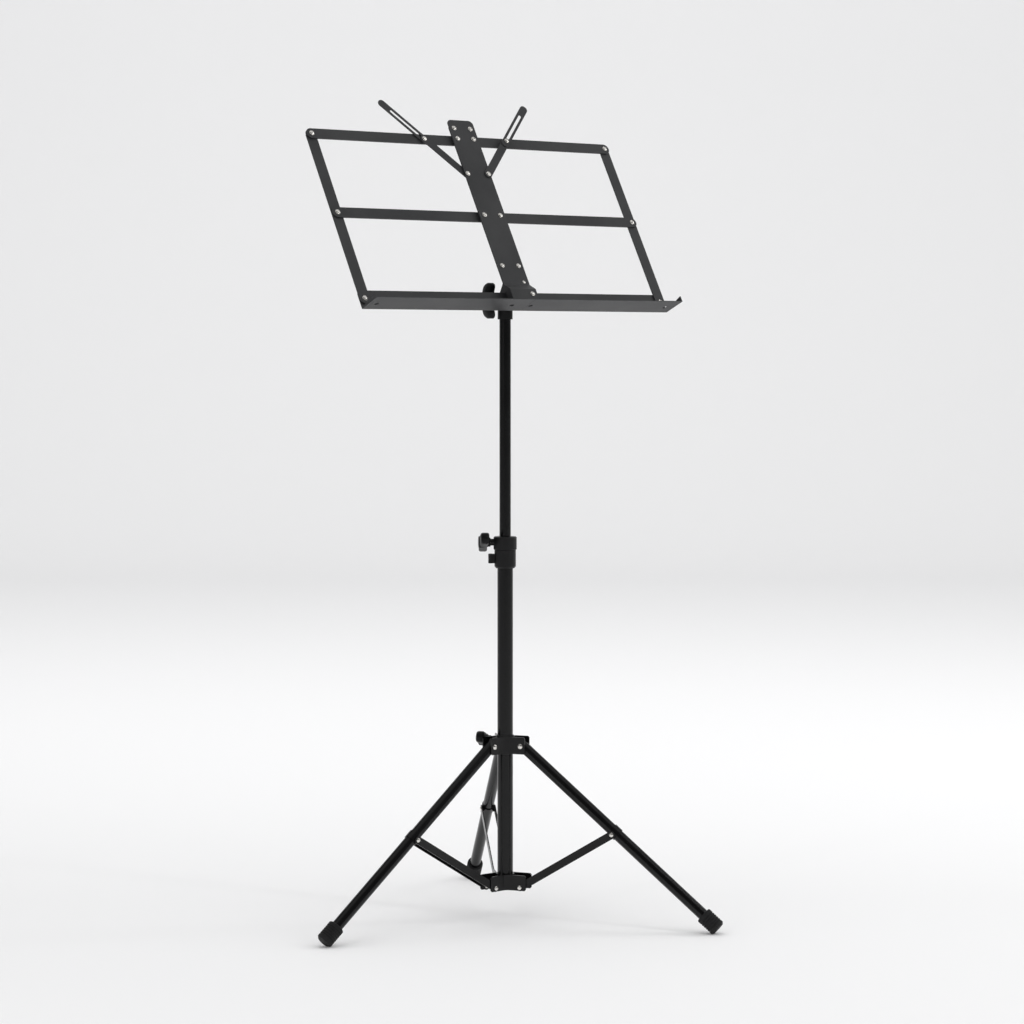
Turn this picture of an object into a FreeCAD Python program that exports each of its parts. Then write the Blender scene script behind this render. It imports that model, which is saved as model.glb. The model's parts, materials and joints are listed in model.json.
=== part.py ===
"""Folding music stand: a tripod base, a telescopic pole and a folding wire-bar desk.

Frame: millimetres, +Z up, origin on the pole's axis at floor level, the desk facing -Y.
Every sub-part is one object of the document and becomes parts/NODE.step.
"""
import FreeCAD, Part
import math
import os

import Sketcher
from FreeCAD import Placement, Rotation, Vector

doc = FreeCAD.newDocument("MusicStand")

# ---------------------------------------------------------------- driving dimensions
LEG_ANGLE = 39.7        # slope of an open leg below the horizontal, degrees
LEG_PIVOT_R, LEG_PIVOT_Z = 26.0, 246.5
HUB_PIVOT_R, HUB_PIVOT_Z = 26.0, 47.0
CLIP_ALONG, CLIP_DROP = 179.0, 3.0
CAP_R, CAP_CHAMFER = 11.7, 2.5


def clip_pivot(slope_deg, slide_z):
    """Radius and height of a leg's brace pivot for a slope and a height of the leg's hinge."""
    slope = math.radians(slope_deg)
    radius = LEG_PIVOT_R + CLIP_ALONG * math.cos(slope) - CLIP_DROP * math.sin(slope)
    height = slide_z - CLIP_ALONG * math.sin(slope) - CLIP_DROP * math.cos(slope)
    return radius, height


OPEN_CLIP = clip_pivot(LEG_ANGLE, LEG_PIVOT_Z)
BRACE_LENGTH = math.hypot(OPEN_CLIP[0] - HUB_PIVOT_R, OPEN_CLIP[1] - HUB_PIVOT_Z)
# The leg is as long as it must be for the cap's lower rim to stand on the floor.
LEG_LENGTH = CAP_CHAMFER + (
    (LEG_PIVOT_Z - CAP_R * math.cos(math.radians(LEG_ANGLE))) / math.sin(math.radians(LEG_ANGLE)))

SIZES = [
    # pole
    ("lower_r", 11.0, "lower tube outer radius"),
    ("lower_wall", 1.2, "lower tube wall"),
    ("lower_bottom", 44.0, "lower tube bottom height"),
    ("lower_top", 527.0, "lower tube top height"),
    ("upper_r", 8.0, "upper tube outer radius"),
    ("upper_wall", 1.0, "upper tube wall"),
    ("upper_bottom", 396.0, "upper tube bottom height"),
    ("upper_top", 856.0, "upper tube top height"),
    ("fit_gap", 0.06, "radial clearance of a running fit"),
    ("sheet", 1.4, "pressed steel thickness"),
    # hub and slide brackets
    ("sleeve_wall", 1.8, "bracket sleeve wall"),
    ("hub_bottom", 42.4, "hub sleeve bottom"),
    ("hub_height", 21.8, "hub sleeve height"),
    ("hub_ear_gap", 10.8, "hub ear inner face from the leg's mid plane"),
    ("hub_ear_end", 35.5, "hub ear end from the pole's axis"),
    ("hub_pivot_r", HUB_PIVOT_R, "brace pivot radius on the hub"),
    ("hub_pivot_z", HUB_PIVOT_Z, "brace pivot height on the hub"),
    ("slide_bottom", 235.3, "slide sleeve bottom"),
    ("slide_height", 24.2, "slide sleeve height"),
    ("slide_ear_gap", 8.4, "slide ear inner face from the leg's mid plane"),
    ("slide_ear_end", 33.0, "slide ear end from the pole's axis"),
    ("ear_corner", 2.0, "rounding of the ears' corners"),
    ("ear_valley", 9.0, "rounding between the ears of two legs"),
    ("slide_pivot_r", LEG_PIVOT_R, "leg hinge radius"),
    ("slide_pivot_z", LEG_PIVOT_Z, "leg hinge height"),
    ("bush_wall", 1.2, "slide bush wall"),
    # legs and braces
    ("leg_r", 8.0, "leg tube outer radius"),
    ("leg_wall", 1.0, "leg tube wall"),
    ("leg_head", 8.0, "leg tube beyond its hinge"),
    ("leg_length", round(LEG_LENGTH, 4), "hinge to the sole of the foot cap"),
    ("cap_r", CAP_R, "foot cap radius"),
    ("cap_length", 28.0, "foot cap length"),
    ("cap_sole", 5.0, "foot cap sole thickness"),
    ("cap_chamfer", CAP_CHAMFER, "foot cap chamfer"),
    ("cap_groove", 0.7, "foot cap groove depth"),
    ("clip_along", CLIP_ALONG, "hinge to brace pivot along the leg"),
    ("clip_drop", CLIP_DROP, "brace pivot below the leg's axis"),
    ("clip_half", 6.0, "half length of the leg clip"),
    ("clip_wall", 1.15, "leg clip wall"),
    ("clip_nose", 5.0, "leg clip ear end radius"),
    ("brace_length", round(BRACE_LENGTH, 4), "brace pivot to pivot"),
    ("brace_half", 5.3, "half width of a brace strip"),
    ("brace_sheet", 1.3, "brace strip thickness"),
    ("brace_gap", 9.4, "brace strip inner face from the leg's mid plane"),
    ("hinge_pin_r", 2.0, "leg hinge rivet radius"),
    ("rivet_r", 1.6, "brace rivet radius"),
    # height collar
    ("collar_bottom", 496.5, "collar lower shell bottom"),
    ("collar_seam", 522.3, "seam between the collar's two shells"),
    ("collar_top", 540.8, "collar top"),
    ("collar_r", 15.1, "collar lower shell radius"),
    ("collar_ring_r", 16.3, "collar upper ring radius"),
    ("collar_boss_end", 20.5, "collar boss end from the axis"),
    ("knob_boss_r", 4.8, "clamp boss radius"),
    ("height_knob_z", 533.0, "height knob axis height"),
    ("slide_knob_z", 252.5, "tripod knob axis height"),
    ("screw_r", 3.0, "clamp screw radius"),
    # knobs
    ("wing_reach", 17.0, "knob axis to lobe centre"),
    ("wing_lobe_r", 8.0, "knob lobe radius"),
    ("wing_thick", 12.0, "knob wing thickness"),
    ("knob_hub_r", 6.6, "knob hub radius"),
    # head
    ("head_r", 10.5, "head sleeve outer radius"),
    ("head_bottom", 845.0, "head sleeve bottom"),
    ("head_top", 860.0, "head sleeve top"),
    ("tilt_z", 870.8, "tilt axis height"),
    ("tilt_back", 3.0, "tilt axis behind the pole's axis"),
    ("tongue_half", 4.5, "half thickness of the head's tongue"),
    ("tongue_r", 9.0, "tongue end radius"),
    # desk
    ("desk_lean", 30.6, "desk lean back from the vertical, degrees"),
    ("tilt_above", 17.0, "tilt axis above the tray pivots along the desk"),
    ("tilt_behind", 38.0, "tilt axis behind the plate's front face"),
    ("desk_half", 254.0, "half distance between the side struts"),
    ("pivot_half", 13.7, "bar pivots from the centre line"),
    ("mid_row", 134.7, "middle bar above the tray pivots"),
    ("top_row", 262.8, "top bar above the tray pivots"),
    ("plate_half", 22.0, "half width of the centre plate"),
    ("plate_top", 294.5, "centre plate top"),
    ("plate_bend", 20.0, "start of the plate's joggle"),
    ("plate_foot", 8.0, "end of the plate's joggle"),
    ("plate_low", -9.0, "centre plate lower edge"),
    ("plate_step", 9.0, "forward step of the plate's foot"),
    ("plate_flange", 2.4, "depth of the plate's side flanges"),
    ("bar_half", 8.0, "half width of bars and struts"),
    ("bar_skin", 1.0, "bar face thickness"),
    ("bar_depth", 2.0, "bar overall depth"),
    ("bar_layer", -6.0, "front face of the bars"),
    ("strut_layer", -8.3, "front face of the struts"),
    ("wall_layer", -10.7, "front face of the tray wall"),
    ("tray_sheet", 1.1, "tray sheet thickness"),
    ("tray_wall_top", 13.5, "tray wall top above its pivots"),
    ("tray_root", -15.1, "underside of the shelf at the wall"),
    ("tray_front_drop", -20.5, "underside of the shelf at its front edge"),
    ("tray_front", 27.0, "front edge of the shelf before the plate"),
    ("tray_overhang", 7.6, "shelf past the side strut's pivot"),
    ("tray_inner", 13.45, "tray half past its pivot towards the middle"),
    ("tray_round", 13.4, "rounding of the wall's inner corner"),
    ("tray_hole_r", 3.4, "shelf hole radius"),
    ("tray_hole_n", 5.5, "shelf hole before the plate"),
    ("tab_height", 9.0, "end tab height at the front"),
    ("pin_r", 2.0, "desk rivet radius"),
    # tilt bracket
    ("bracket_layer", -12.1, "front face of the bracket's rear web"),
    ("bracket_half", 20.0, "half width of the bracket"),
    ("cheek_gap", 4.8, "bracket cheek inner face"),
    ("cheek_sheet", 1.6, "bracket cheek thickness"),
    ("cheek_r", 7.0, "bracket cheek end radius"),
    # page holders
    ("page_half", 17.5, "page arm pivot from the centre line"),
    ("page_row", 203.5, "page arm pivot above the tray pivots"),
    ("page_angle", 48.0, "page arm above the horizontal, degrees"),
    ("page_stud", 78.0, "page arm pivot to stud"),
    ("page_width", 6.0, "half width of page arms and fingers"),
    ("page_sheet", 0.9, "page arm thickness"),
    ("finger_tail", 73.0, "finger's lower end centre from the arm's pivot"),
    ("finger_tip", 155.0, "finger's upper end centre from the arm's pivot"),
    ("slot_top", 138.0, "upper end of the finger's slot"),
    ("slot_half", 2.1, "half width of the finger's slot"),
]

sheet = doc.addObject("Spreadsheet::Sheet", "Sizes")
for row, (alias, value, note) in enumerate(SIZES, start=1):
    sheet.set(f"A{row}", note)
    sheet.set(f"B{row}", str(value))
    sheet.setAlias(f"B{row}", alias)
doc.recompute()

ALIASES = sorted((alias for alias, _, _ in SIZES), key=len, reverse=True)
SIDES = {"left": -1, "right": 1}
LEGS = {"front": -57.0, "left": -177.0, "rear": 63.0}     # azimuth of each leg, degrees
SLIDE_TURN = 123.0                                        # azimuth of the tripod knob
COLLAR_TURN = 150.0                                       # azimuth of the height knob
NODES = []


# ---------------------------------------------------------------- formulas
def formula(text):
    """Prefix every sheet name in a short formula, so that it can bind a property."""
    words = str(text).replace("(", " ( ").replace(")", " ) ").split()
    return " ".join("Sizes." + word if word in ALIASES else word for word in words)


def size(text):
    """The value of a short formula."""
    return float(sheet.evalExpression(formula(text)))


# ---------------------------------------------------------------- sketch helpers
def new_body(label, place=None):
    body = doc.addObject("PartDesign::Body", label)
    body.Label = label
    body.Placement = place or Placement()
    return body


def sketch_on(body, role, level="0"):
    """A sketch on one of the body's own origin planes, raised along its normal."""
    plane = next(item for item in body.Origin.OriginFeatures if item.Role == role)
    sketch = body.newObject("Sketcher::SketchObject", body.Name + "_sketch")
    sketch.AttachmentSupport = [(plane, "")]
    sketch.MapMode = "FlatFace"
    sketch.setExpression("AttachmentOffset.Base.z", formula(level))
    return sketch


def bind(sketch, constraint, text):
    index = sketch.addConstraint(constraint)
    sketch.setExpression(f"Constraints[{index}]", formula(text))


def pin_point(sketch, geometry, position, x_text, y_text):
    """Tie one point of a curve to the sketch's origin."""
    bind(sketch, Sketcher.Constraint("DistanceX", -1, 1, geometry, position, size(x_text)), x_text)
    bind(sketch, Sketcher.Constraint("DistanceY", -1, 1, geometry, position, size(y_text)), y_text)


def add_circle(sketch, x_text, y_text, r_text):
    centre = Vector(size(x_text), size(y_text), 0)
    curve = sketch.addGeometry(Part.Circle(centre, Vector(0, 0, 1), size(r_text)), False)
    pin_point(sketch, curve, 3, x_text, y_text)
    bind(sketch, Sketcher.Constraint("Radius", curve, size(r_text)), r_text)


def add_outline(sketch, corners):
    """A closed outline of straight lines through corners given as pairs of formulas."""
    points = [Vector(size(x), size(y), 0) for x, y in corners]
    count = len(points)
    lines = [sketch.addGeometry(Part.LineSegment(points[i], points[(i + 1) % count]), False)
             for i in range(count)]
    for i, (x_text, y_text) in enumerate(corners):
        sketch.addConstraint(Sketcher.Constraint("Coincident", lines[i], 2, lines[(i + 1) % count], 1))
        pin_point(sketch, lines[i], 1, x_text, y_text)


def add_box(sketch, x0, x1, y0, y1):
    add_outline(sketch, [(x0, y0), (x1, y0), (x1, y1), (x0, y1)])


def add_obround(sketch, x0, x1, y_text, r_text):
    """A strip with round ends whose centres lie at x0 and x1."""
    left, right = Vector(size(x0), size(y_text), 0), Vector(size(x1), size(y_text), 0)
    radius, up = size(r_text), Vector(0, size(r_text), 0)
    axis = Vector(0, 0, 1)
    near = sketch.addGeometry(
        Part.ArcOfCircle(Part.Circle(left, axis, radius), math.pi / 2, 3 * math.pi / 2), False)
    far = sketch.addGeometry(
        Part.ArcOfCircle(Part.Circle(right, axis, radius), -math.pi / 2, math.pi / 2), False)
    low = sketch.addGeometry(Part.LineSegment(left - up, right - up), False)
    high = sketch.addGeometry(Part.LineSegment(right + up, left + up), False)
    for first, first_end, second, second_end in (
            (near, 2, low, 1), (low, 2, far, 1), (far, 2, high, 1), (high, 2, near, 1)):
        sketch.addConstraint(Sketcher.Constraint("Tangent", first, first_end, second, second_end))
    pin_point(sketch, near, 3, x0, y_text)
    pin_point(sketch, far, 3, x1, y_text)
    bind(sketch, Sketcher.Constraint("Radius", near, radius), r_text)
    sketch.addConstraint(Sketcher.Constraint("Equal", near, far))


# ---------------------------------------------------------------- feature helpers
def pad(body, sketch, length):
    feature = body.newObject("PartDesign::Pad", body.Name + "_pad")
    feature.Profile = sketch
    feature.setExpression("Length", formula(length))
    sketch.Visibility = False
    doc.recompute()
    return feature


def cut(body, sketch, depth, along_normal=False):
    """Pocket a sketch and make sure that it removed something."""
    before = body.Shape.Volume
    feature = body.newObject("PartDesign::Pocket", body.Name + "_pocket")
    feature.Profile = sketch
    feature.Reversed = along_normal
    feature.setExpression("Length", formula(depth))
    doc.recompute()
    if not body.Shape.Volume < before - 1e-3:
        raise RuntimeError(f"{body.Label}: a pocket cut nothing")
    return feature


def spin(body, sketch):
    """Revolve a half profile about the sketch's vertical axis."""
    feature = body.newObject("PartDesign::Revolution", body.Name + "_turned")
    feature.Profile = sketch
    feature.ReferenceAxis = (sketch, ["V_Axis"])
    feature.Angle = 360
    doc.recompute()
    return feature


def polar(body, features, count):
    """Repeat features about the body's own Z axis."""
    pattern = body.newObject("PartDesign::PolarPattern", body.Name + "_polar")
    pattern.Originals = features
    axis = next(item for item in body.Origin.OriginFeatures if item.Role == "Z_Axis")
    pattern.Axis = (axis, [""])
    pattern.Angle = 360
    pattern.Occurrences = count
    body.Tip = pattern
    doc.recompute()
    return pattern


def round_edges(body, radius, picked):
    """Fillet the edges that a test on their middle point and direction picks."""
    base, names = body.Tip, []
    for index, edge in enumerate(base.Shape.Edges, start=1):
        middle = edge.valueAt((edge.FirstParameter + edge.LastParameter) / 2)
        if picked(middle, edge):
            names.append(f"Edge{index}")
    if not names:
        raise RuntimeError(f"{body.Label}: no edge to round")
    fillet = body.newObject("PartDesign::Fillet", body.Name + "_fillet")
    fillet.Base = (base, names)
    fillet.setExpression("Radius", formula(radius))
    doc.recompute()
    if fillet.Shape.isNull() or not fillet.Shape.isValid():
        raise RuntimeError(f"{body.Label}: a fillet failed")
    return fillet


def tube(body, outer, inner, bottom, length):
    sketch = sketch_on(body, "XY_Plane", bottom)
    add_circle(sketch, "0", "0", outer)
    add_circle(sketch, "0", "0", inner)
    return pad(body, sketch, length)


def keep(item):
    """Make an object one of the stand's sub-parts."""
    NODES.append(item)
    return item


def group(label, members):
    """Several separate solids of one kind that share a node."""
    compound = doc.addObject("Part::Compound", label)
    compound.Label = label
    compound.Links = members
    doc.recompute()
    return keep(compound)


def turned_solid(profile, places):
    """Copies of a solid turned from (radius, height) pairs about Z, one for each placement."""
    points = [Vector(radius, 0, height) for radius, height in profile]
    wire = Part.makePolygon(points + points[:1])
    solid = Part.Face(wire).revolve(Vector(), Vector(0, 0, 1), 360)
    return [solid.transformed(place.toMatrix()) for place in places]


def rivet_group(label, pairs):
    """Rivets as a Part::Feature: pairs of a half profile and the placements that it takes."""
    solids = []
    for profile, places in pairs:
        solids += turned_solid(profile, places)
    feature = doc.addObject("Part::Feature", label)
    feature.Label = label
    feature.Shape = Part.makeCompound(solids)
    return keep(feature)


def dome(radius, height, base, steps=5):
    """Half profile of a domed head that rises from base, from its rim to its crown."""
    return [(radius * math.cos(k * math.pi / 2 / steps), base + height * math.sin(k * math.pi / 2 / steps))
            for k in range(steps + 1)]


def headed_pin(shank, low, high, head_r, head_h, tail_r=0.0, tail_h=0.0, washer=0.0, spacers=()):
    """Half profile of a rivet: tail below low, shank, then a washer and a domed head above high."""
    profile = [(0.0, low - tail_h)]
    if tail_h:
        profile += [(tail_r, low - tail_h), (tail_r, low)]
    profile += [(shank, low)]
    for spacer_r, spacer_low, spacer_high in spacers:
        profile += [(shank, spacer_low), (spacer_r, spacer_low), (spacer_r, spacer_high),
                    (shank, spacer_high)]
    profile += [(shank, high)]
    if washer:
        profile += [(head_r + 0.7, high), (head_r + 0.7, high + washer)]
    profile += dome(head_r, head_h, high + washer)
    return [(max(radius, 0.0), height) for radius, height in profile]


# ---------------------------------------------------------------- placements
X_AXIS, Y_AXIS, Z_AXIS = Vector(1, 0, 0), Vector(0, 1, 0), Vector(0, 0, 1)


def about_pole(azimuth):
    return Placement(Vector(), Rotation(Z_AXIS, azimuth))


def leg_frame(azimuth):
    """Leg frame: Z runs down the open leg from its hinge and X points to its underside."""
    lean = Placement(Vector(size("slide_pivot_r"), 0, size("slide_pivot_z")),
                     Rotation(Y_AXIS, 90 + LEG_ANGLE))
    return about_pole(azimuth) * lean


def brace_frame(azimuth):
    """Brace frame: X runs up the brace from its hub pivot and Z is square to the leg's mid plane."""
    rise = math.degrees(math.atan2(OPEN_CLIP[1] - HUB_PIVOT_Z, OPEN_CLIP[0] - HUB_PIVOT_R))
    upright = Placement(Vector(HUB_PIVOT_R, 0, HUB_PIVOT_Z), Rotation(X_AXIS, 90))
    return about_pole(azimuth) * upright * Placement(Vector(), Rotation(Z_AXIS, rise))


def desk_frame():
    """Desk frame: X to the reader's right, Y up the desk, Z out of the plate's front face."""
    turn = Rotation(X_AXIS, 90 - size("desk_lean"))
    tilt_local = Vector(0, size("tilt_above"), -size("tilt_behind"))
    return Placement(Vector(0, size("tilt_back"), size("tilt_z")) - turn.multVec(tilt_local), turn)


DESK = desk_frame()


def on_desk(x_text, y_text, layer="0", turn=0.0):
    spot = Vector(size(x_text), size(y_text), size(layer))
    return DESK * Placement(spot, Rotation(Z_AXIS, turn))


def along_x(place, turn=90):
    """Turn a solid made along Z so that it lies along the frame's X."""
    return place * Placement(Vector(), Rotation(Y_AXIS, turn))


# ---------------------------------------------------------------- pole and base
def make_pole():
    lower = keep(new_body("lower_tube"))
    tube(lower, "lower_r", "lower_r - lower_wall", "lower_bottom", "lower_top - lower_bottom")

    plug = keep(new_body("tube_end_plug"))
    profile = sketch_on(plug, "XZ_Plane")
    inner = "lower_r - lower_wall - 0.05"
    add_outline(profile, [("0", "hub_bottom"), ("lower_r - 1", "hub_bottom"),
                          ("lower_r", "hub_bottom + 1"), ("lower_r", "lower_bottom"),
                          (inner, "lower_bottom"), (inner, "lower_bottom + 14"),
                          ("0", "lower_bottom + 14")])
    spin(plug, profile)

    upper = keep(new_body("upper_tube"))
    tube(upper, "upper_r", "upper_r - upper_wall", "upper_bottom", "upper_top - upper_bottom")

    bush = keep(new_body("upper_tube_bush"))
    tube(bush, "lower_r - lower_wall - fit_gap", "upper_r + 0.02", "upper_bottom", "22")


def in_valley(middle, edge):
    """True for the upright edges between the ears of two neighbouring legs."""
    upright = abs(edge.tangentAt(edge.FirstParameter).z) > 0.999
    bearing = math.degrees(math.atan2(middle.y, middle.x)) % 120
    return upright and 13.5 < math.hypot(middle.x, middle.y) < 15.5 and min(bearing, 120 - bearing) < 18.5


def bracket(label, names, turn, bore):
    """A sleeve with three pairs of ears; the first pair lies on the local -X side."""
    body = keep(new_body(label, about_pole(turn)))
    tube(body, f"{bore} + sleeve_wall", bore, names["bottom"], names["height"])
    top = f"{names['bottom']} + {names['height']}"
    end = f"0 - {names['end']}"
    ears = []
    for level in (names["gap"], f"0 - {names['gap']} - sheet"):
        ear = sketch_on(body, "XZ_Plane", level)
        add_outline(ear, [(names["start"], names["bottom"]), (names["start"], top),
                          (f"{end} + ear_corner", top), (end, f"{top} - ear_corner"),
                          (end, f"{names['bottom']} + ear_corner"),
                          (f"{end} + ear_corner", names["bottom"])])
        ears.append(pad(body, ear, "sheet"))
    polar(body, ears, 3)
    round_edges(body, "ear_valley", in_valley)
    hole = sketch_on(body, "XZ_Plane", f"0 - {names['gap']} - sheet - 1")
    add_circle(hole, f"0 - {names['r']}", names["z"], names["hole"])
    polar(body, [cut(body, hole, f"2 * {names['gap']} + 2 * sheet + 2", along_normal=True)], 3)
    return body


def make_brackets():
    bracket("hub_bracket", {
        "bottom": "hub_bottom", "height": "hub_height", "gap": "hub_ear_gap", "end": "hub_ear_end",
        "r": "hub_pivot_r", "z": "hub_pivot_z", "start": "-3.2", "hole": "rivet_r + 0.05"},
        SLIDE_TURN, "( lower_r + 0.04 )")

    slide = bracket("slide_bracket", {
        "bottom": "slide_bottom", "height": "slide_height", "gap": "slide_ear_gap",
        "end": "slide_ear_end", "r": "slide_pivot_r", "z": "slide_pivot_z", "start": "-9.4",
        "hole": "hinge_pin_r + 0.03"}, SLIDE_TURN, "( lower_r + fit_gap + bush_wall + 0.04 )")
    boss = sketch_on(slide, "YZ_Plane", "lower_r + 2")
    add_circle(boss, "0", "slide_knob_z", "knob_boss_r + 1")
    pad(slide, boss, "7")
    thread = sketch_on(slide, "YZ_Plane", "lower_r - 1")
    add_circle(thread, "0", "slide_knob_z", "screw_r + fit_gap")
    cut(slide, thread, "14", along_normal=True)

    bush = keep(new_body("slide_bush", about_pole(SLIDE_TURN)))
    tube(bush, "lower_r + fit_gap + bush_wall", "lower_r + fit_gap", "slide_bottom - 1",
         "slide_height + 2")
    opening = sketch_on(bush, "YZ_Plane", "lower_r - 2")
    add_circle(opening, "0", "slide_knob_z", "screw_r + fit_gap")
    cut(bush, opening, "6", along_normal=True)


# ---------------------------------------------------------------- legs and braces
def make_leg(name, azimuth):
    frame = leg_frame(azimuth)
    leg = keep(new_body(f"leg_tube_{name}", frame))
    tube(leg, "leg_r", "leg_r - leg_wall", "0 - leg_head", "leg_head + leg_length - cap_sole")
    hinge = sketch_on(leg, "XZ_Plane", "0 - leg_r - 1")
    add_circle(hinge, "0", "0", "hinge_pin_r + fit_gap")
    cut(leg, hinge, "2 * leg_r + 2", along_normal=True)
    pin_hole = sketch_on(leg, "XZ_Plane", "0 - leg_r - 1")
    add_circle(pin_hole, "clip_drop", "clip_along", "rivet_r + 0.02")
    cut(leg, pin_hole, "2 * leg_r + 2", along_normal=True)

    cap = keep(new_body(f"foot_cap_{name}", frame))
    profile = sketch_on(cap, "XZ_Plane")
    top, rings = "leg_length - cap_length", 5
    outline = [("0", "leg_length"), ("cap_r - cap_chamfer", "leg_length"),
               ("cap_r", "leg_length - cap_chamfer")]
    for ring in range(rings):
        low = 5.5 + ring * 3.6
        outline += [("cap_r", f"leg_length - {low}"),
                    ("cap_r - cap_groove", f"leg_length - {low + 0.6:.1f}"),
                    ("cap_r - cap_groove", f"leg_length - {low + 1.2:.1f}"),
                    ("cap_r", f"leg_length - {low + 1.8:.1f}")]
    outline += [("cap_r", f"{top} + 1"), ("cap_r - 1", top), ("leg_r + 0.02", top),
                ("leg_r + 0.02", "leg_length - cap_sole"), ("0", "leg_length - cap_sole")]
    add_outline(profile, outline)
    spin(cap, profile)

    clip = keep(new_body(f"leg_clip_{name}", frame))
    tube(clip, "leg_r + 0.03 + clip_wall", "leg_r + 0.03", "clip_along - clip_half", "2 * clip_half")
    for level in ("leg_r + 0.03", "0 - leg_r - 0.03 - clip_wall"):
        ear = sketch_on(clip, "XZ_Plane", level)
        add_box(ear, "0", "clip_drop", "clip_along - clip_nose", "clip_along + clip_nose")
        pad(clip, ear, "clip_wall")
        nose = sketch_on(clip, "XZ_Plane", level)
        add_circle(nose, "clip_drop", "clip_along", "clip_nose")
        pad(clip, nose, "clip_wall")
    hole = sketch_on(clip, "XZ_Plane", "0 - leg_r - 3")
    add_circle(hole, "clip_drop", "clip_along", "rivet_r + 0.02")
    cut(clip, hole, "2 * leg_r + 6", along_normal=True)

    outer = size("leg_r") + 0.03 + size("clip_wall")
    centre = frame * Placement(Vector(size("clip_drop"), 0, size("clip_along")), Rotation(X_AXIS, -90))
    pin = [(0.0, -outer), (size("rivet_r"), -outer), (size("rivet_r"), outer), (0.0, outer)]
    rivet_group(f"leg_clip_pin_{name}", [(pin, [centre])])


def make_brace(name, azimuth):
    frame = brace_frame(azimuth)
    strips = []
    for side, level in (("a", "brace_gap"), ("b", "0 - brace_gap - brace_sheet")):
        strip = new_body(f"brace_strip_{name}_{side}", frame)
        outline = sketch_on(strip, "XY_Plane", level)
        add_obround(outline, "0", "brace_length", "0", "brace_half")
        add_circle(outline, "0", "0", "rivet_r + 0.02")
        add_circle(outline, "brace_length", "0", "rivet_r + 0.02")
        pad(strip, outline, "brace_sheet")
        strips.append(strip)
    group(f"brace_pair_{name}", strips)

    shank, gap = size("rivet_r"), size("brace_gap")
    ear_face = size("hub_ear_gap") + size("sheet") + 0.05
    hub_pin = headed_pin(shank, gap, ear_face, 3.2, 1.6, tail_r=2.8, tail_h=0.6)
    end_pin = headed_pin(shank, gap, gap + size("brace_sheet"), 3.2, 1.6)
    flip = Placement(Vector(), Rotation(X_AXIS, 180))
    hub_places, end_places = [frame, frame * flip], []
    for place in hub_places:
        end_places.append(place * Placement(Vector(size("brace_length"), 0, 0), Rotation()))
    rivet_group(f"brace_rivets_{name}", [(hub_pin, hub_places), (end_pin, end_places)])


def make_leg_hinges():
    outer = size("slide_ear_gap") + size("sheet")
    profile = headed_pin(size("hinge_pin_r"), -outer, outer, 3.8, 1.7, tail_r=3.6, tail_h=1.2)
    spot = Vector(size("slide_pivot_r"), 0, size("slide_pivot_z"))
    places = [about_pole(azimuth) * Placement(spot, Rotation(X_AXIS, turn))
              for azimuth, turn in zip(LEGS.values(), (90, -90, 90))]
    rivet_group("leg_hinge_rivets", [(profile, places)])


# ---------------------------------------------------------------- clamp collar and knobs
def make_collar():
    turn = about_pole(COLLAR_TURN)
    shell = keep(new_body("collar_shell", turn))
    profile = sketch_on(shell, "XZ_Plane")
    bore = "lower_r + 0.04"
    add_outline(profile, [(bore, "collar_bottom"), ("collar_r - 2", "collar_bottom"),
                          ("collar_r", "collar_bottom + 2.5"), ("collar_r", "collar_seam - 0.6"),
                          ("collar_r - 0.6", "collar_seam"), (bore, "collar_seam")])
    spin(shell, profile)
    lug = sketch_on(shell, "XY_Plane", "collar_bottom + 7")
    add_obround(lug, "collar_r + 1.2", "collar_r + 4.2", "0", "4.5")
    pad(shell, lug, "13")

    ring = keep(new_body("collar_ring", turn))
    profile = sketch_on(ring, "XZ_Plane")
    guide = "upper_r + fit_gap"
    add_outline(profile, [(bore, "collar_seam"), ("collar_ring_r - 0.8", "collar_seam"),
                          ("collar_ring_r", "collar_seam + 0.8"), ("collar_ring_r", "collar_top - 1.2"),
                          ("collar_ring_r - 1.2", "collar_top"), (guide, "collar_top"),
                          (guide, "lower_top"), (bore, "lower_top")])
    spin(ring, profile)
    boss = sketch_on(ring, "YZ_Plane", "collar_ring_r - 2")
    add_circle(boss, "0", "height_knob_z", "knob_boss_r")
    pad(ring, boss, "collar_boss_end - collar_ring_r + 2")
    thread = sketch_on(ring, "YZ_Plane", "upper_r - 2")
    add_circle(thread, "0", "height_knob_z", "screw_r + fit_gap")
    cut(ring, thread, "collar_boss_end - upper_r + 3", along_normal=True)


def wing_knob(label, place, start, neck_end, bore_end):
    """A two-winged knob on the local X axis, its wings along local Y."""
    body = keep(new_body(label, place))
    wings = sketch_on(body, "YZ_Plane", neck_end)
    add_obround(wings, "0 - wing_reach", "wing_reach", "0", "wing_lobe_r")
    pad(body, wings, "wing_thick")
    round_edges(body, "2.4", lambda middle, edge: abs(edge.Vertexes[0].X - edge.Vertexes[-1].X) < 1e-6)
    neck = sketch_on(body, "YZ_Plane", start)
    add_circle(neck, "0", "0", "knob_hub_r")
    pad(body, neck, f"( {neck_end} ) - ( {start} ) + 3")
    crown = sketch_on(body, "YZ_Plane", f"{neck_end} + 4")
    add_circle(crown, "0", "0", "wing_lobe_r + 0.8")
    pad(body, crown, "wing_thick - 3")
    bore = sketch_on(body, "YZ_Plane", f"( {start} ) - 1")
    add_circle(bore, "0", "0", "screw_r + 0.02")
    cut(body, bore, f"( {bore_end} ) - ( {start} ) + 1", along_normal=True)
    return body


def screw(label, place, start, length):
    item = doc.addObject("Part::Cylinder", label)
    item.Label = label
    item.Placement = place * Placement(Vector(start, 0, 0), Rotation(Y_AXIS, 90))
    item.setExpression("Radius", formula("screw_r"))
    item.setExpression("Height", formula(length))
    return keep(item)


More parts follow.
